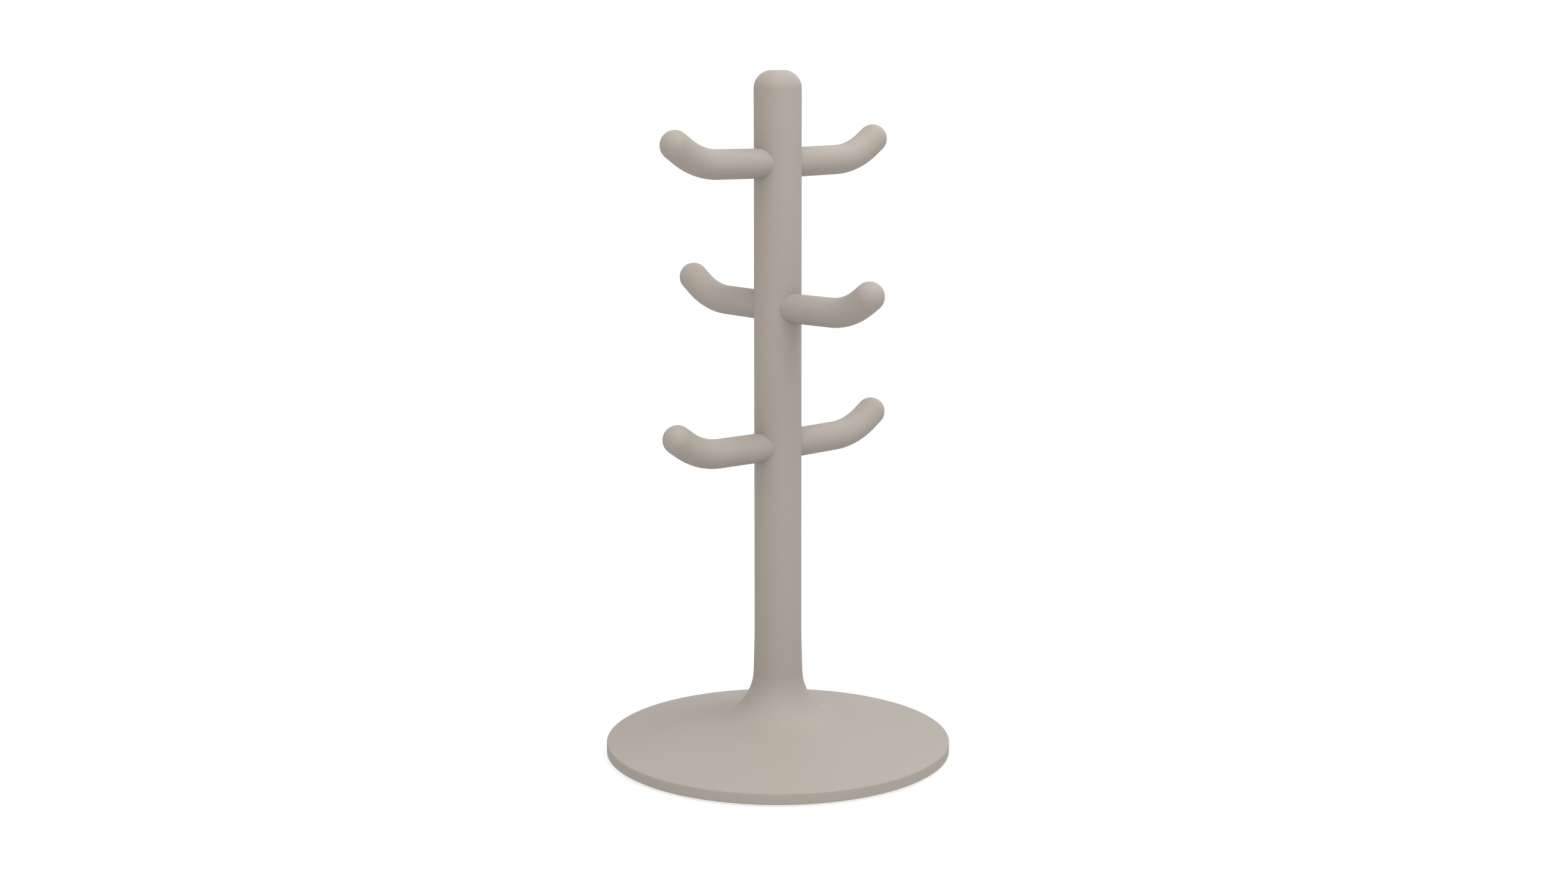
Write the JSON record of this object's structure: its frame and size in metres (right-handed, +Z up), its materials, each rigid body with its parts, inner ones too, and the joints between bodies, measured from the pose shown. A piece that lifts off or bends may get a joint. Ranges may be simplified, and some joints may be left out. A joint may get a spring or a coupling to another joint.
{
  "type": "mug tree",
  "caption": "Free-standing mug tree: round trumpet base, upright post and bent round-ended arms in crossed tiers for hanging mugs by their handles.",
  "frame": {"origin": "under the post's axis, on the resting face of the foot ring", "axes": "+Z up along the post; upper and lower arms along X, middle arms along Y with the front one towards -Y"},
  "size_m": [0.16, 0.16, 0.3143],
  "materials": {
    "coating": "matt taupe powder coat",
    "foot_rubber": "matt black rubber",
    "zinc_steel": "bright zinc plated",
    "plain_steel": "plain turned steel"
  },
  "bodies": {
    "root": {"base_casting": "coating", "foot_ring": "foot_rubber", "post_tube": "coating", "crown_plug": "coating", "post_bush": "plain_steel", "base_bolt": "zinc_steel", "flat_washer": "zinc_steel", "lock_washer": "zinc_steel", "arm_dowel_upper": "plain_steel", "arm_dowel_middle": "plain_steel", "arm_dowel_lower": "plain_steel", "arm_upper_right": "coating", "arm_upper_left": "coating", "arm_middle_rear": "coating", "arm_middle_front": "coating", "arm_lower_right": "coating", "arm_lower_left": "coating"}
  },
  "joints": []
}
